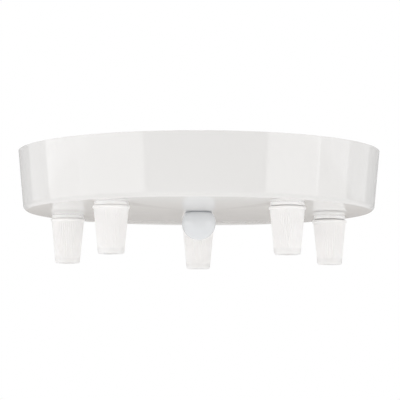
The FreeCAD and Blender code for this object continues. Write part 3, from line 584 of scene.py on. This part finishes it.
def stem(number):
    """A threaded tube through the canopy, with a collar and a second thread for the cap below it."""
    end = -(COLLAR_HIGH + CAP_THREAD_LONG)
    stem_thread_gap = 0.2
    cap_thread_gap = 0.1
    profile = [(STEM_BORE_R, STEM_TOP), (STEM_R - CHAMFER, STEM_TOP)]
    profile += run((STEM_R, STEM_TOP - CHAMFER), (STEM_R, 0.0), STEM_RINGS)
    profile += [(STEM_R, 0.0), (COLLAR_R, 0.0)]
    edge_height = -COLLAR_HIGH + COLLAR_EDGE
    profile += arc(COLLAR_R - COLLAR_EDGE, edge_height, COLLAR_EDGE, start=0, end=-90, steps=3)
    profile += run((CAP_THREAD_R, -COLLAR_HIGH), (CAP_THREAD_R, end + CHAMFER), CAP_THREAD_RINGS)
    profile += [(CAP_THREAD_R, end + CHAMFER), (CAP_THREAD_R - CHAMFER, end), (SOCKET_R, end)]
    profile += [(SOCKET_R, end + SOCKET_DEEP), (STEM_BORE_R, end + SOCKET_DEEP)]
    upper = thread(STEM_R, stem_thread_gap, STEM_TOP - CHAMFER, STEM_PITCH, STEM_GROOVE)
    lower = thread(CAP_THREAD_R, end + CHAMFER, -COLLAR_HIGH - cap_thread_gap, CAP_PITCH, CAP_GROOVE)

    def both(r, z, a):
        return lower(upper(r, z, a), z, a)

    piece = lathe(f"stem_{number}", profile, STEM_SIDES, grip_place(number), -DEPTH, both)
    smooth(piece, crease=40)
    stands_for(piece, f"grip_stem_{number}", STEM_PLASTIC_PAINTED_LIGHT)


def ball_nut():
    """A ball with its top cut flat, and a threaded bore that doesn't go through."""
    middle = BALL_R - (ball_high.z - ball_low.z)
    brim = math.sqrt(BALL_R**2 - middle**2)
    brim_angle = math.degrees(math.atan2(-middle, brim))
    ball = arc(0, middle, BALL_R, start=brim_angle, end=-90, steps=56)
    profile = [(BALL_BORE_R + BALL_BORE_EDGE, 0.0), (brim - BALL_BRIM, 0.0)]
    profile += ball[1:]
    profile += [(0.0, -BALL_BORE_DEEP), (BALL_BORE_R, -BALL_BORE_DEEP), (BALL_BORE_R, -BALL_BORE_EDGE)]
    piece = lathe("ball_shell", profile, BALL_SIDES, up=ball_high.z)
    smooth(piece, crease=30)
    stands_for(piece, "ball_nut", FINISHES["ball_paint"])


def rod():
    """The threaded rod that hangs from the strap."""
    low = rod_low.z
    high = rod_high.z
    profile = [(0.0, high), (ROD_R - CHAMFER, high)]
    profile += run((ROD_R, high - CHAMFER), (ROD_R, low + CHAMFER), ROD_RINGS)
    profile += [(ROD_R, low + CHAMFER), (ROD_R - CHAMFER, low), (0.0, low)]
    groove = thread(ROD_R, low + CHAMFER, high - CHAMFER, ROD_PITCH, ROD_GROOVE)
    piece = lathe("threaded_rod", profile, ROD_SIDES, shape=groove)
    smooth(piece, crease=40)
    stands_for(piece, "fixing_rod", FINISHES["zinc"])


def dress_nodes():
    """Gives each node that stays its finish, and breaks its sharp edges."""
    slots = {row["node"]: row["material_slot"] for row in frame["record"]["subparts"]}
    thin_edge = 0.08 * MM
    edge = 0.12 * MM
    same_point = 0.002 * MM
    sharpest = math.radians(32)
    for name, node in NODES.items():
        node.data.materials.clear()
        node.data.materials.append(FINISHES[slots[name]])
        if node.hide_render:
            continue
        weld = node.modifiers.new("weld", "WELD")
        weld.merge_threshold = same_point
        bevel = node.modifiers.new("edges", "BEVEL")
        bevel.width = thin_edge if name.startswith("grip_washer") else edge
        bevel.segments = 2
        bevel.limit_method = "ANGLE"
        bevel.angle_limit = sharpest
        node.modifiers.new("flat_faces", "WEIGHTED_NORMAL")
        node.data.shade_smooth()


canopy()
for grip in GRIPS:
    cap(grip)
    stem(grip)
ball_nut()
rod()
dress_nodes()


# Camera


def set_camera():
    """The photograph's view: slightly below the canopy, along +Y, from ten rim radii away."""
    rim = RIM_R * MM
    # in rim radii
    distance = 10.34 * rim
    target = Vector((0.0064, 0.0, -0.262)) * rim
    rise = math.radians(5.19)
    swing = math.radians(0.25)
    roll = math.radians(0.12)
    level = Vector((math.sin(swing), math.cos(swing), 0))
    forward = level * math.cos(rise) + Vector((0, 0, math.sin(rise)))
    data = bpy.data.cameras.new("camera")
    data.sensor_width = 36.0
    data.lens = 167.7
    data.clip_start = 0.01
    data.clip_end = 50
    camera = add_object("camera", data)
    turn = forward.to_track_quat("-Z", "Y").to_matrix() @ Matrix.Rotation(roll, 3, "Z")
    camera.matrix_world = Matrix.Translation(target - distance * forward) @ turn.to_4x4()
    bpy.context.scene.camera = camera


# Studio


def background(tree, colour, strength):
    """An even light from all around."""
    made = tree.nodes.new("ShaderNodeBackground")
    made.inputs["Color"].default_value = (*colour, 1)
    made.inputs["Strength"].default_value = strength
    return made.outputs[0]


def set_world():
    """White to the camera and in reflections, and an even pale light on the object."""
    world = bpy.data.worlds.new("studio")
    bpy.context.scene.world = world
    world.use_nodes = True
    tree = world.node_tree
    tree.nodes.clear()
    light = background(tree, colour=(0.985, 0.99, 1.0), strength=0.5)
    white = background(tree, colour=(1, 1, 1), strength=1.0)
    path = tree.nodes.new("ShaderNodeLightPath").outputs
    seen = math_node(tree, "MAXIMUM", path["Is Camera Ray"], path["Is Transmission Ray"])
    shown = math_node(tree, "MAXIMUM", seen, path["Is Glossy Ray"])
    out = tree.nodes.new("ShaderNodeOutputWorld")
    tree.links.new(mix_shaders(tree, shown, light, white), out.inputs["Surface"])


def softbox(name, azimuth, elevation, distance, wide, high, power, mirrored=True):
    """A soft rectangular light that faces the object. Azimuth 0 is the camera's side.

    One that isn't mirrored lights the object, but gloss and metal show the plain background there.
    """
    a = math.radians(azimuth)
    e = math.radians(elevation)
    place = Vector((math.sin(a) * math.cos(e), -math.cos(a) * math.cos(e), math.sin(e))) * distance
    data = bpy.data.lights.new(name, "AREA")
    data.shape = "RECTANGLE"
    data.size = wide
    data.size_y = high
    data.energy = power
    light = add_object(name, data)
    light.rotation_mode = "QUATERNION"
    light.location = place
    light.rotation_quaternion = place.to_track_quat("Z", "Y")
    light.visible_glossy = mirrored


def flag(name, azimuth):
    """A grey card behind the object and to one side. It gives the white shape its darker edges."""
    distance = 1.6
    half_width = 0.48
    low = Vector((0, 0, -0.34))
    high = Vector((0, 0, 0.5))
    grey = (0.6, 0.6, 0.6, 1)
    a = math.radians(azimuth)
    middle = Vector((math.sin(a), -math.cos(a), 0)) * distance
    along = Vector((math.cos(a), math.sin(a), 0)) * half_width
    corners = [middle - along + low, middle + along + low, middle + along + high, middle - along + high]
    mesh = bpy.data.meshes.new(name)
    mesh.from_pydata([tuple(corner) for corner in corners], [], [(0, 1, 2, 3)])
    card = add_object(name, mesh)
    paint = Finish(name)
    paint.set(Roughness=0.9, Base_Color=grey)
    mesh.materials.append(paint.material)
    card.visible_camera = False


def set_floor():
    """A plain pale floor below the object, white in the middle and painted a darker, warmer grey further
    out: painted shade where the lamps' light falls off.
    """
    height_mm = -350.0
    rings_mm = (12000, 3000, 1000, 0)
    pale = (0.93, 0.925, 0.92, 1)
    painted_falloff_colour = (0.88, 0.83, 0.78, 1)
    floor = lathe("floor", [(ring, 0) for ring in rings_mm], FLOOR_SIDES, up=height_mm, closed=False)
    paint = Finish("floor_paint")
    paint.set(Roughness=0.9)
    tree = paint.tree
    reach = tree.nodes.new("ShaderNodeVectorMath")
    reach.operation = "LENGTH"
    tree.links.new(paint.place, reach.inputs[0])
    from_middle = reach.outputs["Value"]
    # painted shade: between 1.6 and 3 m from the middle the floor darkens to a warmer grey, standing in for
    # the light falling off
    paint.link(paint.mixed(paint.ranged(from_middle, start=1.6, end=3.0), pale, painted_falloff_colour), "Base Color")
    # to the camera the far floor is plain white, and from below the floor isn't in the way
    camera_ray = tree.nodes.new("ShaderNodeLightPath").outputs["Is Camera Ray"]
    white = paint.node("ShaderNodeEmission", Color=(1, 1, 1, 1), Strength=1.0)
    far = math_node(tree, "MULTIPLY", paint.ranged(from_middle, start=0.5, end=1.3), camera_ray)
    above = mix_shaders(tree, far, paint.shader.outputs[0], white.outputs[0])
    clear = paint.node("ShaderNodeBsdfTransparent")
    back = tree.nodes.new("ShaderNodeNewGeometry").outputs["Backfacing"]
    below = math_node(tree, "MULTIPLY", back, camera_ray)
    surface = mix_shaders(tree, below, above, clear.outputs[0])
    tree.links.new(surface, tree.nodes["Material Output"].inputs["Surface"])
    floor.data.materials.append(paint.material)


set_camera()
set_world()
set_floor()
softbox("left_key", azimuth=-56, elevation=-4, distance=1.1, wide=0.91, high=0.3, power=1.35)
softbox("right_key", azimuth=60, elevation=-4, distance=1.1, wide=0.74, high=0.3, power=1.1)
softbox("left_wide", azimuth=-93, elevation=-4, distance=1.1, wide=0.6, high=0.3, power=0.75)
softbox("right_wide", azimuth=91, elevation=-4, distance=1.1, wide=0.55, high=0.3, power=0.48)
flag("left_flag", azimuth=-150)
flag("right_flag", azimuth=150)
softbox("low_light", azimuth=0, elevation=-20, distance=0.9, wide=1.1, high=0.35, power=1.75, mirrored=False)
softbox("top_light", azimuth=0, elevation=89, distance=1.6, wide=4.0, high=4.0, power=40, mirrored=False)
bpy.context.scene.view_settings.view_transform = "Standard"
